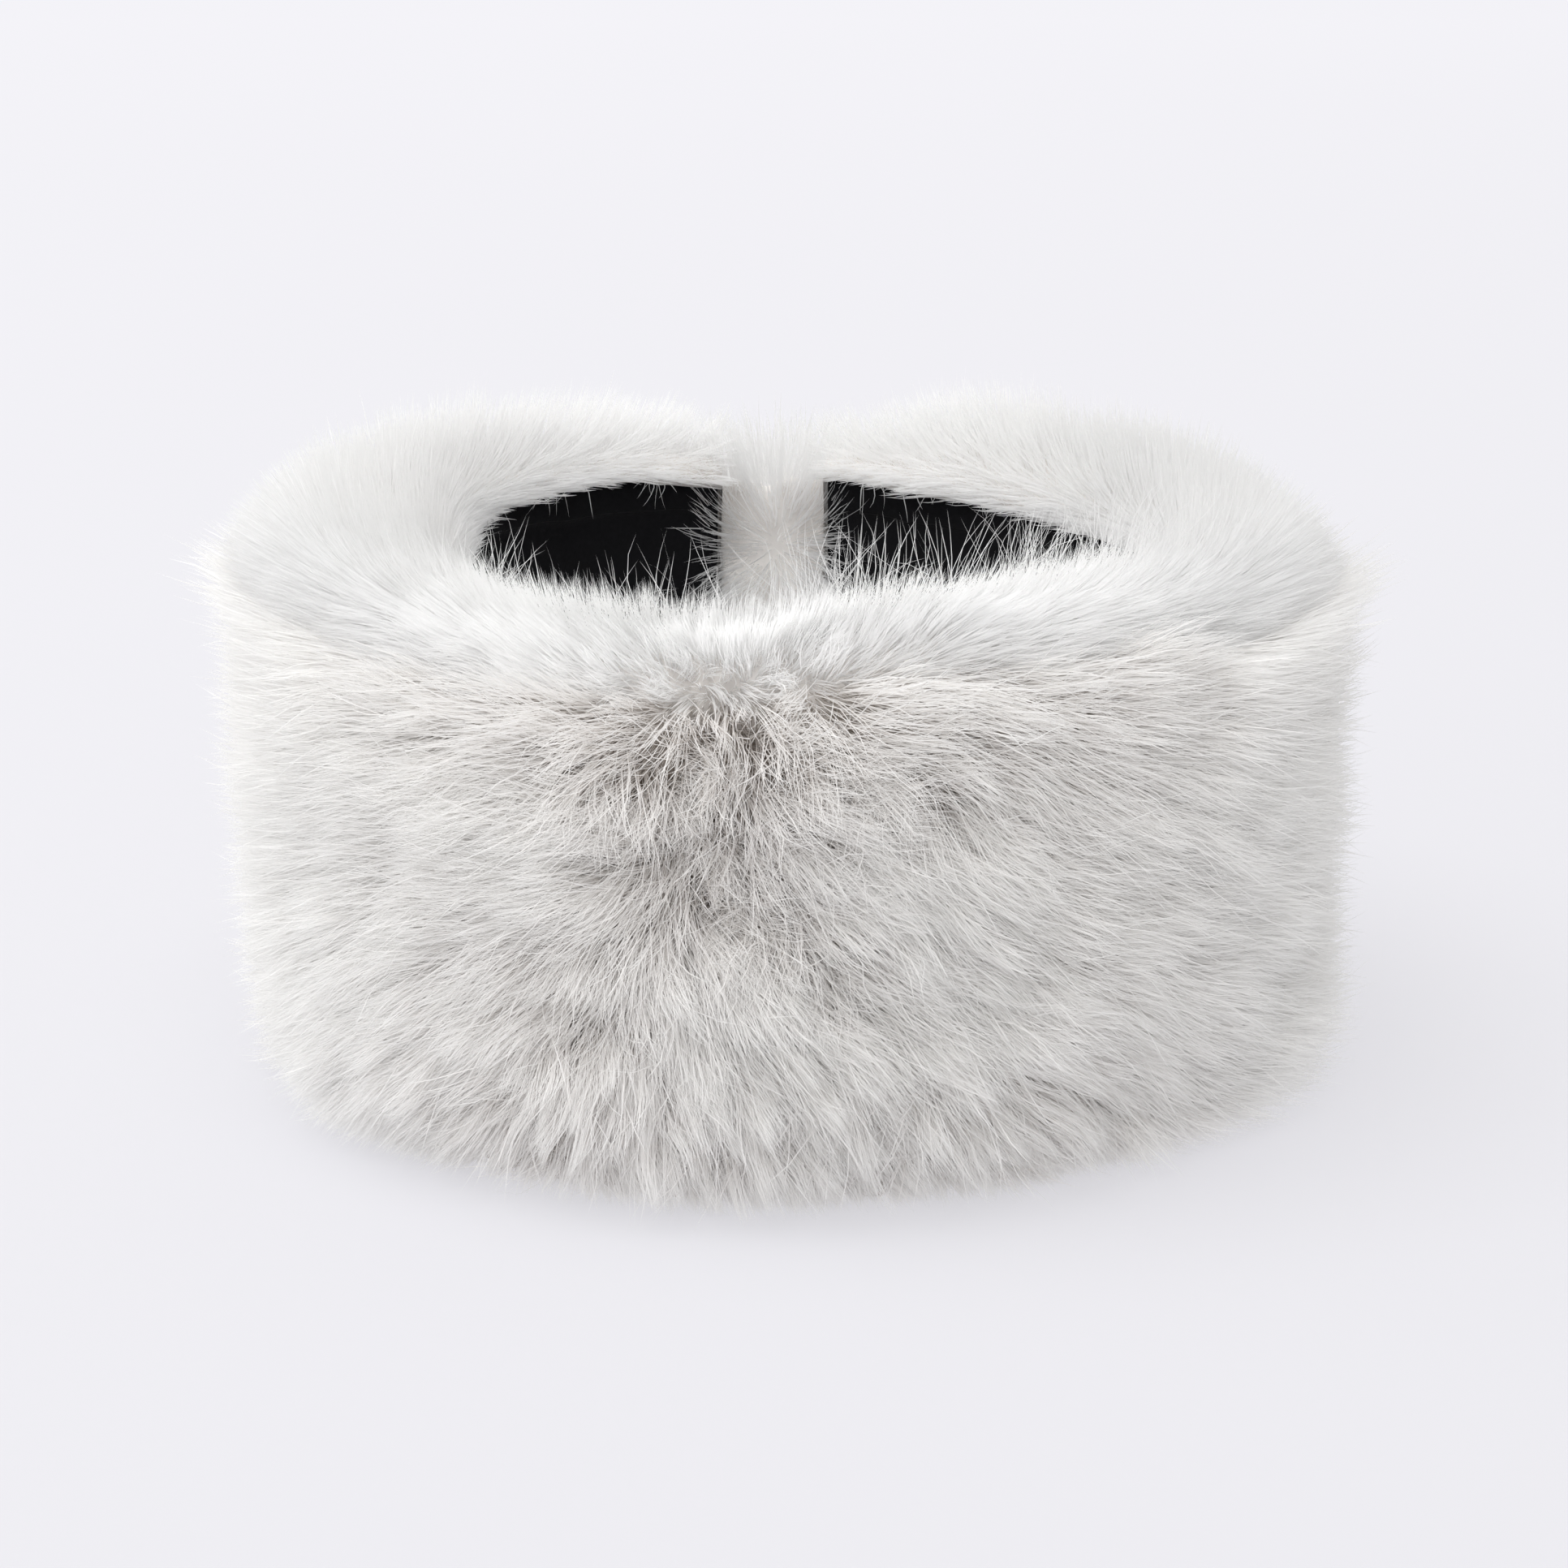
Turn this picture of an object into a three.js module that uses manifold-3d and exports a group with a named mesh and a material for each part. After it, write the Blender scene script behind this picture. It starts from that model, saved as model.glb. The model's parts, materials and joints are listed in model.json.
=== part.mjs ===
// A faux fur headband standing on its lower edge: a long-pile fur strip that goes round the head, a short
// fur-covered elastic section that joins its two ends at the back of the head, and a black fleece lining.
// Millimetres, +Z up, the wearer's forehead towards -Y, the origin at the middle of the resting face.
import * as THREE from "three";
import { mergeVertices } from "three/addons/utils/BufferGeometryUtils.js";
import Module from "manifold-3d";

const wasm = await Module();
wasm.setup();

// The oval that the lining's inner face follows.
const HEAD_HALF_WIDTH = 83;
const HEAD_HALF_DEPTH = 76;

// The lining is one strip of fleece with a turned and stitched hem on all its edges.
const LINING_THICK = 1.6;
const LINING_HEM_THICK = 2.4;
const LINING_HEM_HIGH = 7;
const LINING_BOTTOM = 17;
const LINING_GAP = 0.4; // between the lining's back and the fur strip

// The fur strip's dense underfur, drawn at this height and scaled to the crest of each station.
const UNDERFUR_HIGH = 122;
const RING_STEPS = 46;

// The elastic section at the back, and its clearance from the strip's two ends.
const STRETCH_LEFT = -16;
const STRETCH_RIGHT = 12;
const SEAM_GAP = 0.35;
const STRETCH_LOWER_BY = 7; // how much lower its crest is than the strip's

// Stations round the band, anticlockwise from the wearer's left ear. crest is the height of the underfur,
// depth scales the pile's depth, square adds to that at the foot and under the crest, where the sides of the
// band stand upright, and hem is the height of the lining's upper edge.
const STATIONS = [
  { deg: 0, crest: 119, depth: 1.28, square: 0.2, hem: 109 },
  { deg: 32, crest: 121, depth: 1.12, square: 0.15, hem: 109 },
  { deg: 62, crest: 122, depth: 1, square: 0.1, hem: 110.5 },
  { deg: 82, crest: 119, depth: 0.93, square: 0.1, hem: 112 },
  { deg: 97, crest: 118, depth: 0.93, square: 0.1, hem: 112.5 },
  { deg: 118, crest: 121, depth: 0.97, square: 0.15, hem: 114 },
  { deg: 148, crest: 123, depth: 1.06, square: 0.2, hem: 114 },
  { deg: 180, crest: 122, depth: 1.15, square: 0.25, hem: 112 },
  { deg: 212, crest: 121, depth: 1.07, square: 0.15, hem: 110 },
  { deg: 240, crest: 119, depth: 0.96, square: 0.05, hem: 110 },
  { deg: 262, crest: 117, depth: 0.93, square: 0, hem: 109 },
  { deg: 282, crest: 120, depth: 0.94, square: 0, hem: 110 },
  { deg: 304, crest: 122, depth: 1.02, square: 0.1, hem: 111 },
  { deg: 332, crest: 120, depth: 1.2, square: 0.25, hem: 110 },
];
const SQUARE_FROM = 50; // the height at which the square column adds nothing

// The strip's section: out is the distance outwards from the lining's inner face, up the height. The fur is
// turned in over both edges, so it frames the lining, and it lies flat where it rests.
const LINING_BACK = LINING_THICK + LINING_GAP;
const PILE_ROOT = LINING_BACK + 1; // where the fur's backing ends and its pile begins
const STRIP_SECTION = [
  { out: 5, up: 0 },
  { out: 23, up: 0 },
  { out: 28, up: 8 },
  { out: 29.5, up: 32 },
  { out: 29.5, up: 62 },
  { out: 28.5, up: 90 },
  { out: 25, up: 109 },
  { out: 18, up: 119.5 },
  { out: 9, up: UNDERFUR_HIGH },
  { out: 1, up: 120 },
  { out: -3.5, up: 116.5 },
  { out: PILE_ROOT, up: 114.5 },
  { out: PILE_ROOT, up: 15 },
  { out: -3, up: 12 },
  { out: -1, up: 4 },
];

// The elastic section is furred on both faces, and clear of the surface that the band stands on.
const STRETCH_SECTION = [
  { out: 7, up: 4 },
  { out: 21, up: 4 },
  { out: 27, up: 14 },
  { out: 28, up: 60 },
  { out: 24, up: 104 },
  { out: 15, up: UNDERFUR_HIGH },
  { out: 7, up: 120 },
  { out: 1.5, up: 108 },
  { out: 0, up: 60 },
  { out: 2, up: 12 },
];

// Locks of fur. Each row: the height and depth of its roots in the section, the angle it starts from, the arc
// it covers and how many it has, their length and half width, how far they stand up from the backing, how far
// they are swept along with the pile, and how much they point at the crest. The last two rows fill the whorl.
const LOCK_ROWS = [
  { up: 7, out: 20, from: 0, arc: 360, count: 25, long: 38, wide: 10, lift: 0.38, sweep: 0.8, crown: 0 },
  { up: 26, out: 23, from: 6, arc: 360, count: 25, long: 43, wide: 10, lift: 0.35, sweep: 0.88, crown: 0 },
  { up: 45, out: 23, from: 0, arc: 360, count: 25, long: 43, wide: 10, lift: 0.34, sweep: 0.9, crown: 0 },
  { up: 64, out: 23, from: 6, arc: 360, count: 25, long: 43, wide: 10, lift: 0.34, sweep: 0.9, crown: 0 },
  { up: 83, out: 22, from: 0, arc: 360, count: 24, long: 41, wide: 10, lift: 0.36, sweep: 0.8, crown: 0.15 },
  { up: 98, out: 20, from: 6, arc: 360, count: 24, long: 35, wide: 10, lift: 0.3, sweep: 0.55, crown: 0.5 },
  { up: 109, out: 16, from: 0, arc: 360, count: 24, long: 25, wide: 10, lift: 0.05, sweep: 0.4, crown: 0.7 },
  { up: 110, out: 8, from: 8, arc: 360, count: 18, long: 22, wide: 10, lift: -0.05, sweep: 0.3, crown: 0.8 },
  { up: 94, out: 22, from: 252, arc: 30, count: 4, long: 27, wide: 8, lift: 0.46, sweep: 0.75, crown: 0.1 },
  { up: 68, out: 23, from: 254, arc: 32, count: 6, long: 36, wide: 9, lift: 0.4, sweep: 0.8, crown: 0 },
];
const LOCK_THICK = 8.8; // half thickness
const ROOT_SCATTER = 4; // how far a root may be above or below its row
const ANGLE_SCATTER = 0.3; // of the step from one root to the next
const LENGTH_SCATTER = 0.14; // of the lock's length

// The elastic section's locks hang over its outer face, and a tuft stands on its crest.
const STRETCH_LOCKS = [
  { deg: 88, up: 30, out: 19, long: 30, wide: 9, lift: 0.42, sweep: 0.3, crown: -0.8 },
  { deg: 94, up: 52, out: 20, long: 32, wide: 9, lift: 0.42, sweep: 0.3, crown: -0.8 },
  { deg: 87, up: 74, out: 19, long: 32, wide: 9, lift: 0.42, sweep: 0.3, crown: -0.8 },
  { deg: 93, up: 98, out: 15, long: 32, wide: 9, lift: 0.42, sweep: 0.3, crown: -0.6 },
  { deg: 89, up: 104, out: 14, long: 25, wide: 8, lift: 0.25, sweep: 0.2, crown: 0.8 },
  { deg: 97, up: 104, out: 10, long: 24, wide: 8, lift: -0.1, sweep: 0.2, crown: 0.85 },
];

// The pile is brushed outwards from a whorl, a little to the right of the wearer's brow, where it is tousled.
const WHORL = { along: -18, up: 78, reach: 30, tousle: 2 };
const NOMINAL_RADIUS = 112; // of the pile, to turn an angle into a length along the band
const DROOP = 0.35; // how far the pile hangs at the forehead
const SIDE_FLAT = 0.7; // how nearly level it lies at the sides
const SIDE_FROM = 145; // the length along the band from the whorl at which the sides begin

const smooth = (t) => t * t * (3 - 2 * t);

// A column of STATIONS at any angle, eased from one row to the next.
function station(column, theta) {
  const deg = THREE.MathUtils.euclideanModulo(THREE.MathUtils.radToDeg(theta), 360);
  const last = STATIONS.length - 1;
  let i = STATIONS.findIndex((row) => row.deg > deg) - 1;
  if (i < 0) i = last;
  const here = STATIONS[i];
  const next = STATIONS[i === last ? 0 : i + 1];
  const span = i === last ? 360 - here.deg : next.deg - here.deg;
  return THREE.MathUtils.lerp(here[column], next[column], smooth((deg - here.deg) / span));
}

// The outward direction of the oval at an angle.
function outward(theta) {
  return new THREE.Vector3(
    Math.cos(theta) / HEAD_HALF_WIDTH,
    Math.sin(theta) / HEAD_HALF_DEPTH,
    0,
  ).normalize();
}

// A point at a distance outwards from the oval, and at a height.
function onOval(theta, out, up) {
  return new THREE.Vector3(
    HEAD_HALF_WIDTH * Math.cos(theta),
    HEAD_HALF_DEPTH * Math.sin(theta),
    up,
  ).addScaledVector(outward(theta), out);
}

// The same for the fur, whose depth and height change from station to station.
function inPile(theta, out, up) {
  const square = station("square", theta) * ((up - SQUARE_FROM) / (UNDERFUR_HIGH - SQUARE_FROM)) ** 2;
  const deeper = Math.max(0, out - PILE_ROOT) * (station("depth", theta) + square - 1);
  return onOval(theta, out + deeper, (up * station("crest", theta)) / UNDERFUR_HIGH);
}

function toManifold(geometry) {
  const bare = geometry.clone();
  bare.deleteAttribute("normal");
  bare.deleteAttribute("uv");
  const merged = mergeVertices(bare, 1e-4);
  return new wasm.Manifold(
    new wasm.Mesh({
      numProp: 3,
      vertProperties: merged.attributes.position.array,
      triVerts: new Uint32Array(merged.index.array),
    }),
  );
}

function toGeometry(solid) {
  const { vertProperties, triVerts } = solid.getMesh();
  const geometry = new THREE.BufferGeometry();
  geometry.setAttribute("position", new THREE.BufferAttribute(vertProperties, 3));
  geometry.setIndex(new THREE.BufferAttribute(triVerts, 1));
  geometry.computeVertexNormals();
  return geometry;
}

// The main body of a solid, with the small voids that locks close between them filled.
function wholeBody(solid) {
  const bodies = toManifold(toGeometry(solid)).decompose();
  return bodies.reduce((best, body) => (body.volume() > best.volume() ? body : best));
}

// Moves every vertex of a geometry to where place(vertex) says.
function reshape(geometry, place) {
  const position = geometry.attributes.position;
  for (let i = 0; i < position.count; i++) {
    const p = place(new THREE.Vector3().fromBufferAttribute(position, i));
    position.setXYZ(i, p.x, p.y, p.z);
  }
  return geometry;
}

// A closed ring of one section. The lathe turns it about a circle, and place() bends that to the oval.
const LATHE_RADIUS = 100;
function ring(section, place) {
  const profile = [...section, section[0]].map(
    ({ out, up }) => new THREE.Vector2(LATHE_RADIUS + out, up),
  );
  const turned = new THREE.LatheGeometry(profile, RING_STEPS).rotateX(Math.PI / 2);
  return toManifold(
    reshape(turned, (p) => place(Math.atan2(p.y, p.x), Math.hypot(p.x, p.y) - LATHE_RADIUS, p.z)),
  );
}

// A block that covers the back of the band from one x to another.
const BACK_FROM = 53; // the y at which it starts
const BACK_DEEP = 90;
const BACK_HIGH = 400;
function backBlock(left, right) {
  const block = new THREE.BoxGeometry(right - left, BACK_DEEP, BACK_HIGH);
  return toManifold(block.translate((left + right) / 2, BACK_FROM + BACK_DEEP / 2, 0));
}

// A repeatable number from -1 to 1 for each pair of counts.
function jitter(a, b) {
  const value = Math.sin(a * 127.1 + b * 311.7) * 43758.5453;
  return 2 * (value - Math.floor(value)) - 1;
}

// The direction in which the pile is brushed: x along the band, anticlockwise, and y up.
function brushed(theta, up) {
  const fromFront = THREE.MathUtils.euclideanModulo(theta + 1.5 * Math.PI, 2 * Math.PI) - Math.PI;
  const along = fromFront * NOMINAL_RADIUS - WHORL.along;
  const flow = new THREE.Vector2(along, up - WHORL.up);
  const tousle = WHORL.tousle * Math.exp(-flow.lengthSq() / WHORL.reach ** 2);
  const side = Math.min(1, Math.abs(along) / SIDE_FROM);
  flow.normalize();
  flow.y = flow.y * (1 - SIDE_FLAT * side) - DROOP * (1 - side);
  flow.x += tousle * jitter(along, up);
  flow.y += tousle * jitter(up, along);
  return flow.normalize();
}

// One lock: a spindle on a curve that first stands up from the backing and then leans over with the pile.
const LOCK_PROFILE = [
  { radius: 0, along: 0 },
  { radius: 1, along: 0.38 },
  { radius: 0.74, along: 0.7 },
  { radius: 0, along: 1 },
].map(({ radius, along }) => new THREE.Vector2(radius, along));
const LOCK_SIDES = 4;
const TANGENT_STEP = 0.02;
const rising = (q) => q * (1.3 - 0.55 * q);
const leaning = (q) => q * (0.6 + 0.4 * q);

function lock(row, theta, up, long) {
  const normal = outward(theta);
  const round = new THREE.Vector3(-normal.y, normal.x, 0);
  const flow = brushed(theta, up);
  const lean = round.clone().multiplyScalar(flow.x * row.sweep);
  lean.z += flow.y * row.sweep * (1 - row.crown) + row.crown;
  const root = inPile(theta, row.out, up);
  const lift = row.lift / station("depth", theta); // a deep pile lies flatter
  const centre = (q) =>
    root
      .clone()
      .addScaledVector(normal, lift * long * rising(q))
      .addScaledVector(lean, long * leaning(q));
  return toManifold(
    reshape(new THREE.LatheGeometry(LOCK_PROFILE, LOCK_SIDES), ({ x, y, z }) => {
      const tangent = centre(y + TANGENT_STEP).sub(centre(y - TANGENT_STEP)).normalize();
      const side = new THREE.Vector3().crossVectors(tangent, normal).normalize();
      const flat = new THREE.Vector3().crossVectors(side, tangent);
      return centre(y)
        .addScaledVector(side, x * row.wide)
        .addScaledVector(flat, z * LOCK_THICK);
    }),
  );
}

function rowOfLocks(row, r) {
  const step = row.arc / row.count;
  return Array.from({ length: row.count }, (_, i) => {
    const theta = THREE.MathUtils.degToRad(row.from + (i + ANGLE_SCATTER * jitter(i, r)) * step);
    const up = row.up + ROOT_SCATTER * jitter(i + row.count, r);
    return lock(row, theta, up, row.long * (1 + LENGTH_SCATTER * jitter(r, i)));
  });
}

// The pile rests on z = 0, where it is cut level.
const BEYOND = 300; // past everything
const belowFloor = new THREE.BoxGeometry(2 * BEYOND, 2 * BEYOND, BEYOND).translate(0, 0, -BEYOND / 2);
const pile = ring(STRIP_SECTION, inPile)
  .add(wasm.Manifold.union(LOCK_ROWS.flatMap(rowOfLocks)))
  .subtract(toManifold(belowFloor));

// A section that reaches inwards past the rolls of fur, between two heights, to cut away what is in it.
const INWARDS = -30;
const innerCut = (out, low, high) => [
  { out: INWARDS, up: low },
  { out, up: low },
  { out, up: high },
  { out: INWARDS, up: high },
];

// The locks' roots may not come through into the recess that the lining lies in.
const RECESS_CLEAR = 1.2;
const recess = ring(innerCut(LINING_BACK, 0, 1), (theta, out, up) =>
  onOval(
    theta,
    out,
    THREE.MathUtils.lerp(LINING_BOTTOM - RECESS_CLEAR, station("hem", theta) + RECESS_CLEAR, up),
  ),
);
const furBand = wholeBody(
  pile.subtract(recess).subtract(backBlock(STRETCH_LEFT - SEAM_GAP, STRETCH_RIGHT + SEAM_GAP)),
);

const lowered = (theta, out, up) => inPile(theta, out, up * (1 - STRETCH_LOWER_BY / UNDERFUR_HIGH));
const stretchLocks = STRETCH_LOCKS.map((row) =>
  lock(row, THREE.MathUtils.degToRad(row.deg), row.up, row.long),
);
const stretchPanel = wholeBody(
  ring(STRETCH_SECTION, lowered)
    .add(wasm.Manifold.union(stretchLocks))
    .intersect(backBlock(STRETCH_LEFT, STRETCH_RIGHT)),
);

// The lining is a strip as thick as its hem, thinned between its two hems. Its upper edge follows the
// stations.
const HEM_FACE = LINING_THICK - LINING_HEM_THICK;
const LINING_SECTION = [
  { out: HEM_FACE, up: 0 },
  { out: LINING_THICK, up: 0 },
  { out: LINING_THICK, up: 1 },
  { out: HEM_FACE, up: 1 },
];
const betweenEdges = (inset) => (theta, out, up) =>
  onOval(theta, out, THREE.MathUtils.lerp(LINING_BOTTOM + inset, station("hem", theta) - inset, up));
const lining = ring(LINING_SECTION, betweenEdges(0))
  .subtract(ring(innerCut(0, 0, 1), betweenEdges(LINING_HEM_HIGH)))
  .subtract(backBlock(STRETCH_LEFT, STRETCH_RIGHT));

const FUR = new THREE.MeshStandardMaterial({ color: 0xe9e6e2, roughness: 0.9, metalness: 0 });
const FLEECE = new THREE.MeshStandardMaterial({ color: 0x17181b, roughness: 0.95, metalness: 0 });

function piece(name, solid, material) {
  const mesh = new THREE.Mesh(toGeometry(solid), material);
  mesh.name = name;
  return mesh;
}

const headband = new THREE.Group();
headband.add(
  piece("fur_band", furBand, FUR),
  piece("stretch_panel", stretchPanel, FUR),
  piece("lining", lining, FLEECE),
);

// The locks reach a little further on one side than the other, so the group is centred on its own box.
const middle = new THREE.Box3().setFromObject(headband).getCenter(new THREE.Vector3());
headband.position.set(-middle.x, -middle.y, 0);

export default headband;
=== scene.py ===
import json
import math

import bpy
import numpy as np
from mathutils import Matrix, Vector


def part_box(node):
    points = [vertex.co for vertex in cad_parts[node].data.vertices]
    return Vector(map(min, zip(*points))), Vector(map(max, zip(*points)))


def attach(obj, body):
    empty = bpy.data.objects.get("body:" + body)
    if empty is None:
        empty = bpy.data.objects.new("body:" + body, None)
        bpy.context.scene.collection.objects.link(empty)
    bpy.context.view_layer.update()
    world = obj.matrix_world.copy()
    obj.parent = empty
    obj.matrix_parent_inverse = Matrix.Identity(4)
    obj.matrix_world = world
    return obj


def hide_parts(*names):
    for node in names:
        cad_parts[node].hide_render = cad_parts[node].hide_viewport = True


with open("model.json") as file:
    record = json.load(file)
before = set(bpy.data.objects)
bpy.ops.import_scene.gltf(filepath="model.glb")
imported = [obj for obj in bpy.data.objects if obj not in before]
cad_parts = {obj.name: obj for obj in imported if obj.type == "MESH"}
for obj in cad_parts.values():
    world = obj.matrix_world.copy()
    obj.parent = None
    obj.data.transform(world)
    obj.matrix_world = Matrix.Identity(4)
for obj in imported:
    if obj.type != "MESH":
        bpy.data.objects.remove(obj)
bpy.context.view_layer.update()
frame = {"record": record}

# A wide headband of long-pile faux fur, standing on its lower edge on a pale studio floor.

MM = 0.001  # a millimetre in metres

# ---- Studio --------------------------------------------------------------------------------------
# A seamless pale floor that runs out of view on all sides, a wide soft box overhead and a little to the
# left, and an even white room round it. The camera looks down on the forehead with a long lens.

opening_low, opening_high = np.array(frame["record"]["physics"]["openings"][1]["box_m"])
CENTRE = (opening_low + opening_high)[:2] / 2  # of the oval that the lining follows

FLOOR_SIZE = 12.0
CAMERA_DISTANCE = 1.025  # level, from the middle of the band
CAMERA_HEIGHT = 0.387
CAMERA_PITCH = math.radians(17.53)
CAMERA_ASIDE = 0.0009
LENS_MM = 112.75
SENSOR_MM = 36.0
ROOM_LIGHT = 0.65  # the strength of the white walls
LAMPS_NEAR = {"y": -0.25, "strength": 0.588}  # the table's own lamps, in front of the band
LAMPS_FAR = {"y": 1.5, "strength": 0.71}  # and far behind it
TABLE_CLOUDS = 1.5  # of the table's unevenness, to a metre

# Soft boxes: size, place and aim in metres, and power.
SOFT_BOXES = {
    "overhead_box": {"size": (2.0, 1.6), "place": (-0.5, -0.5, 2.0), "aim": (0, 0, 0.05), "watts": 32.5},
    "front_box": {"size": (1.2, 0.8), "place": (-0.3, -1.5, 1.0), "aim": (0, 0, 0.06), "watts": 4.4},
    "left_box": {"size": (1.0, 0.8), "place": (-1.5, 0.2, 0.5), "aim": (0, 0, 0.1), "watts": 5.0},
    "right_box": {"size": (1.0, 0.8), "place": (1.5, 0.2, 0.5), "aim": (0, 0, 0.1), "watts": 1.0},
    "back_box": {"size": (2.4, 0.7), "place": (0, 1.9, 0.75), "aim": (0, 0, 0.12), "watts": 3.0},
}


def linear(hex_colour, alpha=1.0):
    """An sRGB hex colour as the linear values that Blender's sockets take."""
    channels = [int(hex_colour[i : i + 2], 16) / 255 for i in (0, 2, 4)]
    return [c / 12.92 if c <= 0.04045 else ((c + 0.055) / 1.055) ** 2.4 for c in channels] + [alpha]


def add_node(tree, kind, inputs=None, **settings):
    """Adds a node. inputs gives its sockets by name or number, each a value or another node's output."""
    node = tree.nodes.new(kind)
    for setting, value in settings.items():
        setattr(node, setting, value)
    for socket, value in (inputs or {}).items():
        if isinstance(value, bpy.types.NodeSocket):
            tree.links.new(value, node.inputs[socket])
        else:
            node.inputs[socket].default_value = value
    return node


def new_material(name):
    """An empty node material and its tree."""
    material = bpy.data.materials.new(name)
    material.use_nodes = True
    material.node_tree.nodes.clear()
    return material, material.node_tree


def lit_acrylic():
    """Opal acrylic lit from beneath, as product tables are, so that shadows on it stay faint. Slow
    unevenness in the sheet keeps it from looking like a flat fill, and its lamps are a little stronger
    towards the back."""
    material, tree = new_material("opal acrylic table")
    place = add_node(tree, "ShaderNodeTexCoord").outputs["Object"]
    cloud = add_node(tree, "ShaderNodeTexNoise", {"Vector": place, "Scale": TABLE_CLOUDS, "Detail": 2.0})
    tint = add_node(tree, "ShaderNodeMix", {0: cloud.outputs["Fac"]}, data_type="RGBA")
    tint.inputs["A"].default_value = linear("7c7c7f")
    tint.inputs["B"].default_value = linear("808083")
    skin = add_node(
        tree, "ShaderNodeBsdfPrincipled", {"Base Color": tint.outputs["Result"], "Roughness": 0.9}
    )
    skin.inputs["Specular IOR Level"].default_value = 0.0
    skin.inputs["Emission Color"].default_value = linear("fbfaff")
    across = add_node(tree, "ShaderNodeSeparateXYZ", {0: place})
    lamps = add_node(
        tree,
        "ShaderNodeMapRange",
        {
            "Value": across.outputs["Y"],
            "From Min": LAMPS_NEAR["y"],
            "From Max": LAMPS_FAR["y"],
            "To Min": LAMPS_NEAR["strength"],
            "To Max": LAMPS_FAR["strength"],
        },
    )
    tree.links.new(lamps.outputs["Result"], skin.inputs["Emission Strength"])
    add_node(tree, "ShaderNodeOutputMaterial", {"Surface": skin.outputs["BSDF"]})
    return material


def put(name, data):
    """A new object for a mesh, light or camera, linked into the scene."""
    made = bpy.data.objects.new(name, data)
    bpy.context.scene.collection.objects.link(made)
    return made


def soft_box(name, size, place, aim, watts):
    """A rectangular white soft box that points at its aim."""
    light = bpy.data.lights.new(name, "AREA")
    light.shape = "RECTANGLE"
    light.size, light.size_y = size
    light.energy = watts
    light.color = linear("ffffff")[:3]
    lamp = put(name, light)
    lamp.location = place
    towards = np.array(aim) - np.array(place)
    lamp.rotation_euler = (
        math.atan2(math.hypot(towards[0], towards[1]), -towards[2]),
        0,
        math.atan2(-towards[0], towards[1]),
    )
    return lamp


floor_mesh = bpy.data.meshes.new("studio_floor")
half = FLOOR_SIZE / 2
floor_corners = [(-half, -half, 0), (half, -half, 0), (half, half, 0), (-half, half, 0)]
floor_mesh.from_pydata(floor_corners, [], [(0, 1, 2, 3)])
floor_mesh.materials.append(lit_acrylic())
floor = put("studio_floor", floor_mesh)

world = bpy.data.worlds.new("white room")
world.use_nodes = True
world.node_tree.nodes["Background"].inputs["Color"].default_value = linear("fffefc")
world.node_tree.nodes["Background"].inputs["Strength"].default_value = ROOM_LIGHT
bpy.context.scene.world = world

for name, box in SOFT_BOXES.items():
    soft_box(name, **box)

lens = bpy.data.cameras.new("camera")
lens.lens = LENS_MM
lens.sensor_width = SENSOR_MM
camera = put("camera", lens)
camera.location = (CENTRE[0] + CAMERA_ASIDE, CENTRE[1] - CAMERA_DISTANCE, CAMERA_HEIGHT)
camera.rotation_euler = (math.pi / 2 - CAMERA_PITCH, 0, 0)
bpy.context.scene.camera = camera
bpy.context.scene.view_settings.view_transform = "Standard"

# ---- Form of the band ----------------------------------------------------------------------------
# The knitted backing of the fur is bent to the oval of a head, and turned in over the lining at both
# edges. Everything below is laid out by theta, the angle round the oval, and by a section's out and up in
# millimetres.

LINING_THICK = 1.6
lining_low, lining_high = (np.array(corner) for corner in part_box("lining"))
HALF_WIDTH = (lining_high[0] - lining_low[0]) / 2 / MM - LINING_THICK
HALF_DEPTH = (CENTRE[1] - lining_low[1]) / MM - LINING_THICK
SECTION_HIGH = 122.0  # the height that the sections are drawn at, before the crest of each station
PILE_ROOT = 3.0  # the out beyond which the depth of each station counts
LIP_UP = 109.0  # the up of the lip in the sections
LIP_OVER = 2.5  # the lip above the lining's edge
POINTS_A_KNOT = 16  # drawn from each knot of a section to the next

# Stations round the band, anticlockwise from the wearer's left ear. Their columns are the crest, the depth
# of the pile, how much deeper it is under the crest, the height of the lining's upper edge, how far the roll
# of fur leans in over that edge and hangs below it, and how much the pile adds to the crest's height.
STATION_COLUMNS = ("deg", "crest", "depth", "square", "hem", "roll", "droop", "tall")
STATIONS = [
    (0, 119, 1.28, 0.2, 109, 1, 0, 8),
    (32, 121, 1.12, 0.15, 109, 3, 1.5, 8),
    (62, 122, 1.0, 0.1, 110.5, 3, 1.5, 9),
    (82, 119, 0.93, 0.1, 112, 2.5, 0.5, 3),
    (97, 118, 0.93, 0.1, 112.5, 2.5, 3.5, 1),
    (118, 121, 0.97, 0.15, 114, 3.5, 1, 4),
    (148, 123, 1.06, 0.2, 114, 6.5, 1.5, 8),
    (180, 122, 1.15, 0.25, 112, 14, 2, 9),
    (212, 121, 1.07, 0.15, 110, 9.5, 0, 8),
    (240, 119, 0.96, 0.05, 110, 1, 0, 8),
    (262, 117, 0.93, 0, 109, 0, 0, 11),
    (282, 120, 0.94, 0, 110, 0, 0, 13.5),
    (304, 122, 1.02, 0.1, 111, 0, 0, 11),
    (332, 120, 1.2, 0.25, 110, 0, 0, 8.5),
]
SQUARE_FROM = 50.0  # the height at which the square column adds nothing
FOREHEAD = -math.pi / 2  # the theta of the middle of the forehead


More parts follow.
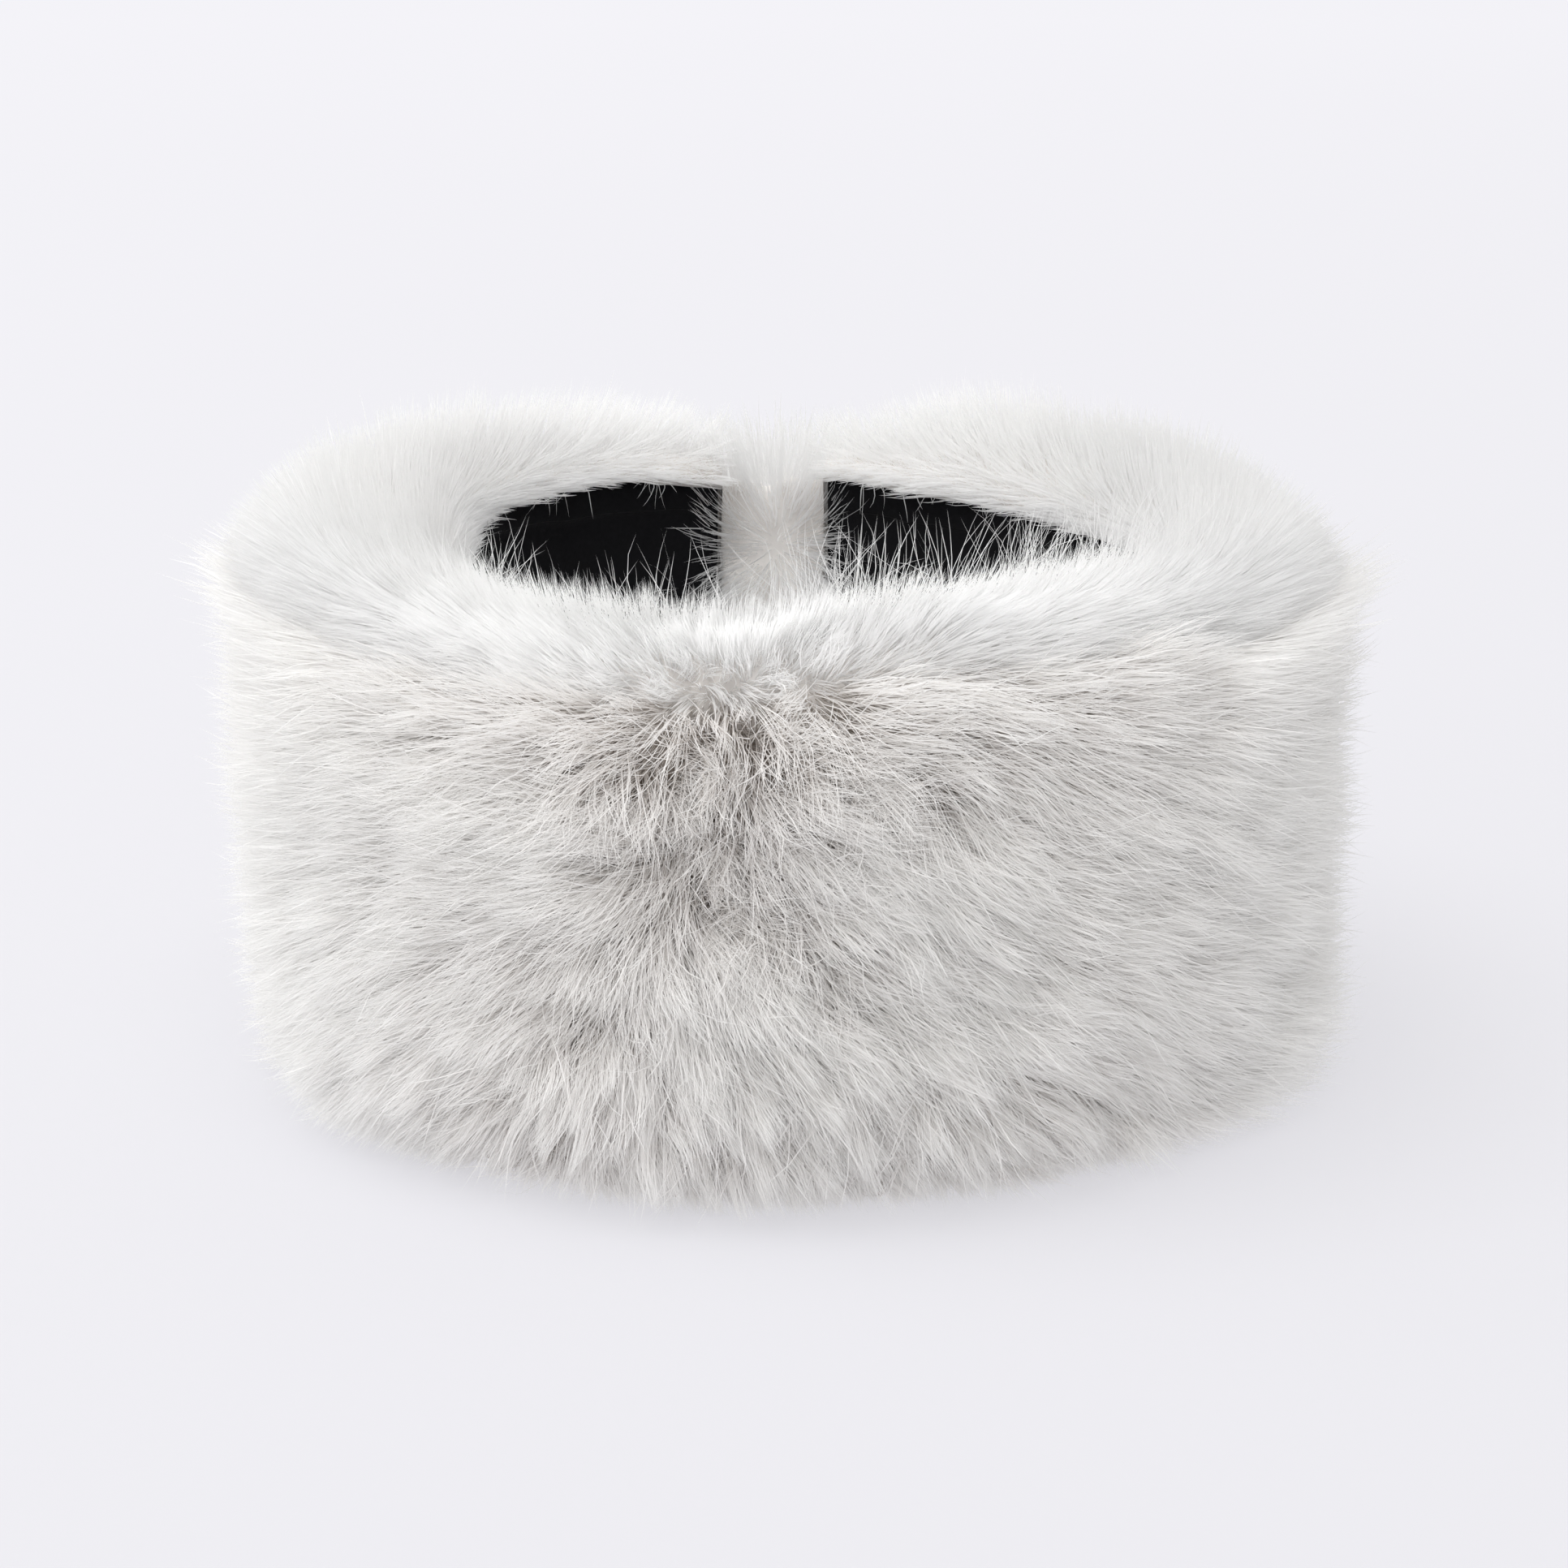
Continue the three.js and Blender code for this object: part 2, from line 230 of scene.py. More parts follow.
def station(column, theta):
    """A column of STATIONS at any theta, eased from one row to the next."""
    deg = np.degrees(theta) % 360
    at = STATION_COLUMNS.index(column)
    marks = np.array([row[0] for row in STATIONS] + [360])
    values = np.array([row[at] for row in STATIONS] + [STATIONS[0][at]], float)
    i = np.clip(np.searchsorted(marks, deg, side="right") - 1, 0, len(marks) - 2)
    t = (deg - marks[i]) / (marks[i + 1] - marks[i])
    return values[i] + (values[i + 1] - values[i]) * t * t * (3 - 2 * t)


def outward(theta):
    """The level direction out from the oval."""
    normal = np.stack([np.cos(theta) / HALF_WIDTH, np.sin(theta) / HALF_DEPTH, np.zeros_like(theta)], -1)
    return normal / np.linalg.norm(normal, axis=-1, keepdims=True)


def on_oval(theta, out, up):
    """Points in millimetres at a distance out from the lining's inner face, and at a height."""
    x = CENTRE[0] / MM + HALF_WIDTH * np.cos(theta)
    y = CENTRE[1] / MM + HALF_DEPTH * np.sin(theta)
    return np.stack([x, y, up], -1) + outward(theta) * np.asarray(out)[..., None]


def smoothstep(low, high, x):
    """From 0 at low to 1 at high, eased at both ends. low may be the larger."""
    t = np.clip((x - low) / (high - low), 0, 1)
    return t * t * (3 - 2 * t)


def in_pile(theta, out, up):
    """on_oval for the fur, whose depth and height change from station to station, and whose inner lip keeps
    just above the lining's upper edge."""
    square = station("square", theta) * ((up - SQUARE_FROM) / (SECTION_HIGH - SQUARE_FROM)) ** 2
    deeper = np.maximum(0, out - PILE_ROOT) * (station("depth", theta) + square - 1)
    scale = station("crest", theta) / SECTION_HIGH
    lip = smoothstep(14, 4, out) * smoothstep(94, 106, up)
    raised = up * scale + station("tall", theta) * smoothstep(88, 110, up)
    high = raised * (1 - lip) + lip * (station("hem", theta) + LIP_OVER + (up - LIP_UP) * scale)
    roll = station("roll", theta) * smoothstep(13, 2, out) * smoothstep(98, 109, up)
    hang = station("droop", theta) * smoothstep(0.5, -3, out - roll) * smoothstep(98, 109, up)
    return on_oval(theta, out + deeper - roll, high - hang)


class Section:
    """A smooth closed outline of (out, up) points, measured along its length in millimetres."""

    def __init__(self, rows):
        knots = np.array(rows, float)
        u = np.arange(0, len(knots), 1 / POINTS_A_KNOT)
        i = u.astype(int)
        t = (u - i)[:, None]
        a, b, c, d = (knots[k % len(knots)] for k in (i - 1, i, i + 1, i + 2))
        line = b + 0.5 * t * (c - a + t * (2 * a - 5 * b + 4 * c - d + t * (3 * (b - c) + d - a)))
        line = np.vstack([line, line[:1]])
        self.line = line
        self.at = np.concatenate([[0], np.cumsum(np.linalg.norm(np.diff(line, axis=0), axis=1))])
        self.long = self.at[-1]

    def point(self, along):
        """The (out, up) at a length along the outline."""
        return np.interp(along, self.at, self.line[:, 0]), np.interp(along, self.at, self.line[:, 1])

    def slope(self, along, reach=1.0):
        """The unit direction along the outline."""
        out0, up0 = self.point(np.clip(along - reach, 0, self.long))
        out1, up1 = self.point(np.clip(along + reach, 0, self.long))
        size = np.hypot(out1 - out0, up1 - up0) + 1e-9
        return (out1 - out0) / size, (up1 - up0) / size


# Length round the band, at the middle of the pile, against theta.
NOMINAL_OUT = 28.0
round_theta = np.linspace(FOREHEAD - math.pi, FOREHEAD + math.pi, 1441)
round_line = on_oval(round_theta, np.full_like(round_theta, NOMINAL_OUT), np.zeros_like(round_theta))
round_steps = np.linalg.norm(np.diff(round_line, axis=0), axis=1)
round_along = np.concatenate([[0], np.cumsum(round_steps)])
round_along -= round_along[-1] / 2
HALF_ROUND = round_along[-1]


def theta_at(along):
    """The theta at a length along the band from the forehead's middle, positive to the wearer's left."""
    wrapped = (along + HALF_ROUND) % (2 * HALF_ROUND) - HALF_ROUND
    return np.interp(wrapped, round_along, round_theta)


def along_at(theta):
    """The length along the band at a theta, from -HALF_ROUND to HALF_ROUND."""
    turned = (theta - FOREHEAD + math.pi) % (2 * math.pi) - math.pi + FOREHEAD
    return np.interp(turned, round_theta, round_along)


def mesh_from(name, corners, faces, uv=None):
    """A mesh from millimetre corners and faces of one size, with the map that its material reads."""
    mesh = bpy.data.meshes.new(name)
    count, sides = faces.shape
    mesh.vertices.add(len(corners))
    mesh.vertices.foreach_set("co", (corners * MM).astype(np.float32).ravel())
    mesh.loops.add(faces.size)
    mesh.loops.foreach_set("vertex_index", faces.astype(np.int32).ravel())
    mesh.polygons.add(count)
    mesh.polygons.foreach_set("loop_start", np.arange(0, faces.size, sides, dtype=np.int32))
    mesh.polygons.foreach_set("loop_total", np.full(count, sides, np.int32))
    mesh.update(calc_edges=True)
    mesh.shade_smooth()
    if uv is not None:
        layer = mesh.uv_layers.new(name="OFBake")
        layer.data.foreach_set("uv", uv[faces.ravel()].astype(np.float32).ravel())
    return mesh


# ---- Underfur ------------------------------------------------------------------------------------
# The dense, crimped fibres at the foot of the pile, next to the backing. They show only as warm grey shadow
# between the locks, so they are one lumpy body that the guard hairs grow out of.

UNDERFUR_SECTION = Section([
    (6, 3), (11.5, 2.5), (14.5, 8), (17.3, 24), (19, 50), (19.8, 80), (19.5, 102), (15.5, 109.5), (8, 112.5),
    (3, 111.5), (0.3, 108.5), (3.4, 106.5), (4, 95), (4, 60), (4, 28), (3, 18), (0.5, 13), (1.5, 6),
])
UNDERFUR_AROUND = 250  # points round the band
UNDERFUR_ACROSS = 88  # points round its section
LUMP_HIGH = 1.6
LUMP_SIZE = 4.5
FINE_LUMP_SIZE = 2.1
LINING_SIDE = 4.2  # the out within which the underfur lies flat against the lining
JOIN_OUT = 15.0  # the out at which the strip's ends are cut to the sides of the elastic section
FLOOR_CLEAR = 0.8  # the lowest that the underfur reaches

stretch_low, stretch_high = (np.array(corner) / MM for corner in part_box("stretch_panel"))
end_right = math.acos((stretch_high[0] - CENTRE[0] / MM) / (HALF_WIDTH + JOIN_OUT))
end_left = math.acos((stretch_low[0] - CENTRE[0] / MM) / (HALF_WIDTH + JOIN_OUT))


def value_noise(x, y, size, seed):
    """Smooth noise from -1 to 1 over a plane, with lumps of the given size."""
    lattice = np.random.default_rng(seed).uniform(-1, 1, (257, 257))
    gx, gy = x / size + 64.0, y / size + 64.0
    ix, iy = np.floor(gx).astype(int), np.floor(gy).astype(int)
    tx, ty = gx - ix, gy - iy
    tx, ty = tx * tx * (3 - 2 * tx), ty * ty * (3 - 2 * ty)
    ix, iy = ix % 256, iy % 256
    low = lattice[ix, iy] * (1 - tx) + lattice[ix + 1, iy] * tx
    high = lattice[ix, iy + 1] * (1 - tx) + lattice[ix + 1, iy + 1] * tx
    return low * (1 - ty) + high * ty


def pile_fibre(name, root, middle, tip, through, darkest=0.965):
    """Off-white acrylic fibre, extruded, crimped at the foot and brushed straight at the tip. It is matt and
    lets light through, so the pile glows where it is thin. Its colour is painted darker and warmer towards
    the root, as painted shade down between the locks. The map runs from root to tip in U, and from the
    darker fibres to the lighter ones in V."""
    material, tree = new_material(name)
    where = add_node(tree, "ShaderNodeUVMap", uv_map="OFBake").outputs["UV"]
    parts = add_node(tree, "ShaderNodeSeparateXYZ", {0: where})
    # The ramp paints shade: darker at the root, where the pile is deep.
    ramp = add_node(tree, "ShaderNodeValToRGB", {"Fac": parts.outputs["X"]})
    ramp.color_ramp.elements[0].color = linear(root)
    ramp.color_ramp.elements[1].color = linear(tip)
    ramp.color_ramp.elements.new(0.45).color = linear(middle)
    shade = add_node(
        tree, "ShaderNodeMapRange", {"Value": parts.outputs["Y"], "To Min": darkest, "To Max": 1.0}
    )
    tinted = add_node(
        tree,
        "ShaderNodeVectorMath",
        {0: ramp.outputs["Color"], "Scale": shade.outputs["Result"]},
        operation="SCALE",
    )
    skin = add_node(
        tree,
        "ShaderNodeBsdfPrincipled",
        {"Base Color": tinted.outputs["Vector"], "Roughness": 0.62, "Specular IOR Level": 0.3},
    )
    glow = add_node(tree, "ShaderNodeBsdfTranslucent", {"Color": tinted.outputs["Vector"]})
    both = add_node(tree, "ShaderNodeMixShader", {0: through, 1: skin.outputs[0], 2: glow.outputs[0]})
    add_node(tree, "ShaderNodeOutputMaterial", {"Surface": both.outputs["Shader"]})
    return material


# The underfur is so dense that no light goes through it. Its warm grey, darker towards the root, is painted
# shade for the depths of the pile.
underfur_fibre_painted_shade = pile_fibre("crimped acrylic underfur, painted shade", "948a82", "b0a69e", "f4f1ee", 0.0)


def grid_body(section, theta_from, theta_to, around, across, place, seed):
    """The corners, triangles and map of a body swept along the band from one theta to another, with lumps,
    and closed at both ends."""
    theta = np.linspace(theta_from, theta_to, around)
    along = np.linspace(0, section.long, across, endpoint=False)
    tt, ss = np.meshgrid(theta, along, indexing="ij")
    out, up = section.point(ss)
    d_out, d_up = section.slope(ss)
    lump = value_noise(along_at(tt), ss, LUMP_SIZE, seed)
    lump += 0.6 * value_noise(along_at(tt), ss, FINE_LUMP_SIZE, seed + 1)
    lump = np.where((out < LINING_SIDE) & (up > 8), 0, LUMP_HIGH * lump)
    points = place(tt, out + lump * d_up, up - lump * d_out)
    points[..., 2] = np.maximum(points[..., 2], FLOOR_CLEAR)
    corners = points.reshape(-1, 3)
    i, j = np.meshgrid(np.arange(around - 1), np.arange(across), indexing="ij")
    j1 = (j + 1) % across
    quads = np.stack([i * across + j, i * across + j1, (i + 1) * across + j1, (i + 1) * across + j], -1)
    quads = quads.reshape(-1, 4)
    tris = np.vstack([quads[:, [0, 1, 2]], quads[:, [0, 2, 3]]])
    caps = []
    for end, flip in ((0, True), (around - 1, False)):
        ring = end * across + np.arange(across)
        corners = np.vstack([corners, points[end].mean(0)])
        centre = np.full(across, len(corners) - 1)
        cap = np.stack([ring, np.roll(ring, -1), centre], -1)
        caps.append(cap[:, ::-1] if flip else cap)
    tris = np.vstack([tris] + caps)
    shade = 0.5 + 0.5 * value_noise(corners[:, 0], corners[:, 2] + corners[:, 1], 6, seed + 2)
    # Painted light: its colour is paler round the sides, over the crest and at the back, where the pile lets
    # more light down.
    calm = np.maximum(smoothstep(60, 100, np.abs(corners[:, 0])), smoothstep(98, 108, corners[:, 2]))
    calm = np.maximum(calm, smoothstep(0, 40, corners[:, 1]))
    uv = np.stack([0.3 + 0.2 * shade + 0.5 * calm, shade], -1)
    return corners, tris, uv


corners, faces, uv = grid_body(
    UNDERFUR_SECTION, end_left, end_right + 2 * math.pi, UNDERFUR_AROUND, UNDERFUR_ACROSS, in_pile, 11
)
underfur = put("underfur", mesh_from("underfur", corners, faces, uv))
underfur.data.materials.append(underfur_fibre_painted_shade)
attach(underfur, "root")
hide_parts("fur_band")

# ---- Elastic section -----------------------------------------------------------------------------
# The two ends of the strip are joined at the back by a short piece of elastic, covered with the same fur on
# both faces. It is drawn in, so its crest is lower than the strip's.

STRETCH_LOWER = 1 - 5 / SECTION_HIGH  # its height next to the strip's
STRETCH_GAP = 0.004  # between it and the strip's ends, in radians
STRETCH_AROUND = 24  # points along it
STRETCH_ACROSS = 110  # points round its section
STRETCH_SECTION = Section([
    (7.5, 5), (16, 5), (19.5, 14), (20.5, 60), (18, 98), (13, 111), (8, 112), (4, 105), (-1.5, 60), (0, 14),
])


def in_stretch(theta, out, up):
    """in_pile for the elastic section."""
    return in_pile(theta, out, up * STRETCH_LOWER)


corners, faces, uv = grid_body(
    STRETCH_SECTION,
    end_right + STRETCH_GAP,
    end_left - STRETCH_GAP,
    STRETCH_AROUND,
    STRETCH_ACROSS,
    in_stretch,
    21,
)
stretch_core = put("stretch_underfur", mesh_from("stretch_underfur", corners, faces, uv))
stretch_core.data.materials.append(underfur_fibre_painted_shade)
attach(stretch_core, "root")
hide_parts("stretch_panel")

# ---- Pile ----------------------------------------------------------------------------------------
# Guard hairs, about 30 mm long. They leave the backing steeply, gather into locks a few millimetres wide,
# and lie over along the brushing, which runs out from a whorl on the forehead. Each hair is a flat ribbon,
# as extruded fibre is, tapering to a point.

# How the outer face is brushed. Each row is a height, and its aims are at these lengths along the band from
# the middle of the forehead, in degrees, with 0 towards the wearer's left and 90 up.
BRUSHED_AT = (-150, -94, -60, -45, -34, -25, -17, -9, 0, 12, 30, 60, 100, 150)
BRUSHING = [
    {"up": 8, "aims": (205, 226, 244, 262, 278, 286, 289, 288, 288, 294, 305, 313, 326, 342)},
    {"up": 27, "aims": (198, 222, 238, 256, 282, 298, 303, 304, 305, 308, 314, 320, 330, 346)},
    {"up": 43, "aims": (192, 216, 234, 254, 272, 290, 300, 305, 312, 320, 327, 332, 338, 349)},
    {"up": 54, "aims": (189, 206, 212, 244, 264, 282, 292, 300, 314, 326, 333, 336, 341, 351)},
    {"up": 64, "aims": (187, 198, 196, 194, 236, 268, 284, 300, 330, 340, 338, 337, 343, 352)},
    {"up": 74, "aims": (186, 194, 188, 182, 176, 200, 250, 320, 345, 341, 335, 335, 344, 353)},
    {"up": 85, "aims": (185, 194, 190, 184, 172, 155, 130, 350, 348, 340, 328, 333, 345, 355)},
    {"up": 93, "aims": (184, 196, 205, 203, 200, 215, 258, 318, 338, 336, 332, 338, 350, 357)},
    {"up": 101, "aims": (182, 186, 186, 188, 195, 220, 262, 300, 326, 345, 356, 2, 358, 359)},
    {"up": 107, "aims": (181, 176, 170, 170, 195, 235, 262, 285, 325, 360, 14, 14, 6, 1)},
    {"up": 112, "aims": (178, 160, 142, 140, 160, 205, 255, 290, 340, 35, 45, 36, 20, 7)},
]
WHORL = -8.0  # where the whorl is, along the band
AHEAD = 9.0  # how far a hair's visible part lies from its root
# Patches that the brush has left on end: where they are, how far they reach, how much of a mess they are,
# and how much shorter they lie, as a share.
TOUSLED = [
    {"along": -29, "up": 102, "reach": 9, "mess": 0.7, "shorter": 0.05},
    {"along": -13, "up": 101, "reach": 9, "mess": 0.9, "shorter": 0.1},
    {"along": 3, "up": 102, "reach": 7, "mess": 0.6, "shorter": 0.05},
    {"along": -18, "up": 90, "reach": 9, "mess": 1.0, "shorter": 0.5},
    {"along": -12, "up": 80, "reach": 8, "mess": 1.0, "shorter": 0.5},
    {"along": -5, "up": 73, "reach": 6, "mess": 0.8, "shorter": 0.35},
    {"along": 3, "up": 62, "reach": 6, "mess": 0.8, "shorter": 0.4},
    {"along": -38, "up": 56, "reach": 8, "mess": 0.8, "shorter": 0.4},
    {"along": 20, "up": 92, "reach": 5, "mess": 0.8, "shorter": 0.3},
]
WARP = 7.0  # how far the brush's traces are jumbled, from one lock to the next
WARP_SIZE = 4.5
LOCK_SIZE = 3.2
TRESS_SIZE = 4.8  # of the larger locks that the small ones lie in
CELLS = 512  # the locks are numbered on a square of this many to a side, which repeats
TALLEST = 144.0  # the height that the crest is sheared to
LOWEST = 0.2  # the height of the hairs that lie on the floor
BUNCH_SIZE = 7.0  # of the bunches that stray hairs stand in
# How unlike each other locks are, and hairs: in the way they turn, rise and curl, in radians.
LOCK_SPREAD = {"turn": 0.14, "rise": 0.09, "curl": 0.25}
HAIR_SPREAD = {"turn": 0.19, "rise": 0.12, "curl": 0.3}
GUARD_SHARE = 0.12  # of the hairs that are the longest and stiffest
GUARD_BIGGER = 1.15  # how much longer and wider those are
LOOSE_SHARE = 0.1  # of the other hairs that lie in no lock

# The guard hair is a soft warm white, painted darker and warmer towards the root as painted shade down in
# the pile. The crest's hair is a paler copy of the same fibre, a clean white that is painted light, and most
# of the light goes through it, so it glows.
guard_fibre_painted_shade = pile_fibre("brushed acrylic guard hair, painted shade", "a89c90", "f8f6f4", "fffffe", 0.45)
crest_fibre_painted_light = pile_fibre("combed acrylic guard hair, painted light", "dcdad8", "fdfdfd", "ffffff", 0.72, 0.92)


def aim_at(along, up):
    """The way that the pile points at a place: along the band, and up."""
    marks = np.array([row["up"] for row in BRUSHING], float)
    aims = np.radians([row["aims"] for row in BRUSHING])
    ways = np.array([
        (np.interp(along, BRUSHED_AT, np.cos(row)), np.interp(along, BRUSHED_AT, np.sin(row)))
        for row in aims
    ])
    i = np.clip(np.searchsorted(marks, up) - 1, 0, len(marks) - 2)
    t = np.clip((up - marks[i]) / (marks[i + 1] - marks[i]), 0, 1)
    pick = np.arange(len(along))
    way = ways[i, :, pick] * (1 - t)[:, None] + ways[i + 1, :, pick] * t[:, None]
    way /= np.linalg.norm(way, axis=1, keepdims=True) + 1e-6
    return way[:, 0], way[:, 1]


def brushed(along, up):
    """The way that a hair rooted at a place is brushed, along the band and up, how tousled it is there, and
    how much shorter."""
    tousle = np.zeros(len(along))
    shorter = np.zeros(len(along))
    for patch in TOUSLED:
        near = np.exp(-((along - patch["along"]) ** 2 + (up - patch["up"]) ** 2) / patch["reach"] ** 2)
        near *= smoothstep(111, 106, up)
        tousle = np.maximum(tousle, near * patch["mess"])
        shorter = np.maximum(shorter, near * patch["shorter"])
    along_read = along + WARP * (1 + tousle) * value_noise(along, up, WARP_SIZE, 35)
    up_read = up + WARP * (1 + tousle) * value_noise(along, up, WARP_SIZE, 36) * smoothstep(20, 40, up)
    near_x, near_z = aim_at(along_read, up_read)
    ahead = AHEAD * (1 - tousle) * smoothstep(108, 88, up)
    ahead_x, ahead_z = aim_at(along_read + ahead * near_x, up_read + ahead * near_z)
    return ahead_x, ahead_z, tousle, shorter


def lay_of_strip(along, out, up):
    """How the strip's hairs lie once they have left the backing: along the band, up, out from the band, and
    their length next to the longest."""
    fx, fz, tousle, shorter = brushed(along, up)
    # Where the hairs are, each from 0 to 1: round the side, over the forehead, on the crest, on the
    # forehead's edge, on the outer shoulder, on the inner face, near the floor, near the floor by the left
    # ear, and at the nape.
    side = smoothstep(50, 150, np.abs(along))
    front = smoothstep(55, 20, np.abs(along - WHORL))
    crest = smoothstep(104, 114, up) * smoothstep(20 - 5 * front, 11 - 4 * front, out)
    brow = front * smoothstep(99, 108, up) * (1 - crest)
    shoulder = smoothstep(86, 106, up) * smoothstep(6, 15, out)
    inner = smoothstep(6, 1.5, out) * smoothstep(40, 60, up)
    foot = smoothstep(45, 8, up)
    foot_left = smoothstep(40, 12, up) * smoothstep(60, 120, along) * smoothstep(230, 180, along)
    nape = smoothstep(270, 315, np.abs(along))
    # The brushing rules the face. Hairs stand up on the crest and the forehead's edge.
    lean_x = fx * (1 - (0.6 + 0.35 * front) * crest) * (1 - 0.75 * brow)
    lean_z = (fz * (1 - crest) + crest) * (1 - 0.75 * brow) + 0.95 * brow + 0.35 * shoulder * side
    lean_z += 0.3 * foot_left
    # They bristle where they are tousled, tuck in near the floor and fan out round the shoulder.
    lean_out = 0.38 + 0.2 * (1 - side) + 0.7 * tousle - 0.75 * foot * (1 - side) + 0.2 * side * shoulder
    lean_out += crest * (0.8 * smoothstep(9, 15, out) * (1 - side) - 0.56 + 0.2 * side)
    lean_out += 0.1 * brow + 0.35 * foot_left
    lean_out += 0.7 * side * smoothstep(97, 107, up) * smoothstep(9, 18, out)
    # On the inner face they lie aside and lean in over the opening.
    lean_x = lean_x * (1 - inner) + inner * 0.9 * np.sign(along) * smoothstep(5, 60, np.abs(along))
    lean_z = lean_z * (1 - inner) + inner * (0.25 - 0.3 * smoothstep(150, 240, np.abs(along)))
    lean_out = lean_out * (1 - inner) - inner * 0.35
    length = 1 - (0.2 * (1 - side) + 0.25 * nape) * crest - shorter - 0.5 * inner
    length += 0.08 * foot_left - 0.3 * foot * (1 - side) - 0.2 * brow
    return lean_x, lean_z, lean_out, length


def hair_paths(section, place, lay, theta, along_section, long, spin, raise_by, curl, steps):
    """The curves of hairs rooted at (theta, along_section): an array of hairs by points by 3, and the
    outward directions at their roots. spin turns each hair aside, raise_by lifts it, and curl bends it
    sideways on its way to the tip, all in radians. steps are where the points lie along the hair, from 0 to
    1."""
    out, up = section.point(along_section)
    d_out, d_up = section.slope(along_section)
    root = place(theta, out, up)
    level = outward(theta)
    aside = np.stack([-level[:, 1], level[:, 0], np.zeros(len(theta))], -1)
    upward = np.broadcast_to(np.array([0.0, 0.0, 1.0]), level.shape)
    normal = level * d_up[:, None] - upward * d_out[:, None]
    flow_x, flow_z, lean_out, length = lay(along_at(theta), out, up)
    points = [root]
    here = root.copy()
    for start, end in zip(steps[:-1], steps[1:]):
        middle = (start + end) / 2
        turn = smoothstep(-0.15, 0.62, middle)
        swing = spin + curl * (middle - 0.55) * 2
        lean_x = flow_x * np.cos(swing) - flow_z * np.sin(swing)
        lean_z = flow_x * np.sin(swing) + flow_z * np.cos(swing)
        lean = aside * lean_x[:, None] + upward * lean_z[:, None] + level * (lean_out + raise_by)[:, None]
        lean /= np.linalg.norm(lean, axis=1, keepdims=True)
        heading = normal * (1 - turn) * 0.9 + lean * (0.25 + turn)
        heading /= np.linalg.norm(heading, axis=1, keepdims=True)
        here = here + heading * (long * length * (end - start))[:, None]
        points.append(here)
    return np.stack(points, 1), normal


def lock_of(x, y, size, seed):
    """The lock that each root belongs to: the nearest of a scattered grid of lock roots."""
    shift = np.random.default_rng(seed).uniform(0.08, 0.92, (CELLS, CELLS, 2))
    gx, gy = np.floor(x / size).astype(int), np.floor(y / size).astype(int)
    best = np.full(len(x), 1e9)
    found = np.zeros((len(x), 2))
    key = np.zeros(len(x), int)
    for i in (-1, 0, 1):
        for j in (-1, 0, 1):
            cx, cy = gx + i, gy + j
            at = shift[cx % CELLS, cy % CELLS]
            px, py = (cx + at[:, 0]) * size, (cy + at[:, 1]) * size
            d = (px - x) ** 2 + (py - y) ** 2
            nearer = d < best
            best = np.where(nearer, d, best)
            found[nearer] = np.stack([px, py], -1)[nearer]
            key = np.where(nearer, (cx % CELLS) * CELLS + cy % CELLS, key)
    return found, key


def wave(x, y):
    """The slow waves in the brushing, in radians, which bend hairs and their locks alike."""
    calm = 1 - 0.7 * smoothstep(60, 130, np.abs(x))
    return calm * (0.26 * value_noise(x, y, 24, 31) + 0.32 * value_noise(x, y, 7, 32))


def swell(x, y):
    """How far the pile stands up or lies down, in radians, in patches."""
    return 0.14 * value_noise(x, y, 15, 33) + 0.08 * value_noise(x, y, 6, 34)


def worn_down(paths, rng):
    """A hair that would reach the floor is worn down to end at it, and one too tall is sheared."""
    root = paths[:, 0, 2]
    floor_gap = rng.uniform(0.3, 2.5, len(paths))
    drop = root - paths[..., 2].min(1)
    share = np.clip((root - floor_gap) / np.maximum(drop, 1e-6), 0.2, 1)
    rise = paths[..., 2].max(1) - root
    share = np.minimum(share, np.clip((TALLEST - root) / np.maximum(rise, 1e-6), 0.3, 1))
    paths = paths[:, :1] + (paths - paths[:, :1]) * share[:, None, None]
    paths[..., 2] = np.maximum(paths[..., 2], LOWEST)
    return paths


def ribbons(paths, normal, roll, wide):
    """The corners and triangles of flat ribbons along hairs. roll turns each about its own length, and wide
    is its width at each point but the tip, where it ends in a point."""
    count, points = paths.shape[:2]
    tangent = np.gradient(paths, axis=1)
    tangent /= np.linalg.norm(tangent, axis=2, keepdims=True) + 1e-9
    aside = np.cross(tangent, normal[:, None, :])
    aside /= np.linalg.norm(aside, axis=2, keepdims=True) + 1e-9
    edge = np.cross(aside, tangent)
    aside = aside * np.cos(roll)[:, None, None] + edge * np.sin(roll)[:, None, None]
    left = paths[:, :-1] - aside[:, :-1] * wide[:, :-1, None] / 2
    right = paths[:, :-1] + aside[:, :-1] * wide[:, :-1, None] / 2
    sides = np.stack([left, right], 2).reshape(count, -1, 3)
    corners = np.concatenate([sides, paths[:, -1:]], 1)
    per = corners.shape[1]
    faces = []
    for k in range(points - 2):
        faces += [(2 * k, 2 * k + 1, 2 * k + 3), (2 * k, 2 * k + 3, 2 * k + 2)]
    faces.append((per - 3, per - 2, per - 1))
    faces = (np.array(faces)[None] + per * np.arange(count)[:, None, None]).reshape(-1, 3)
    return corners.reshape(-1, 3), faces


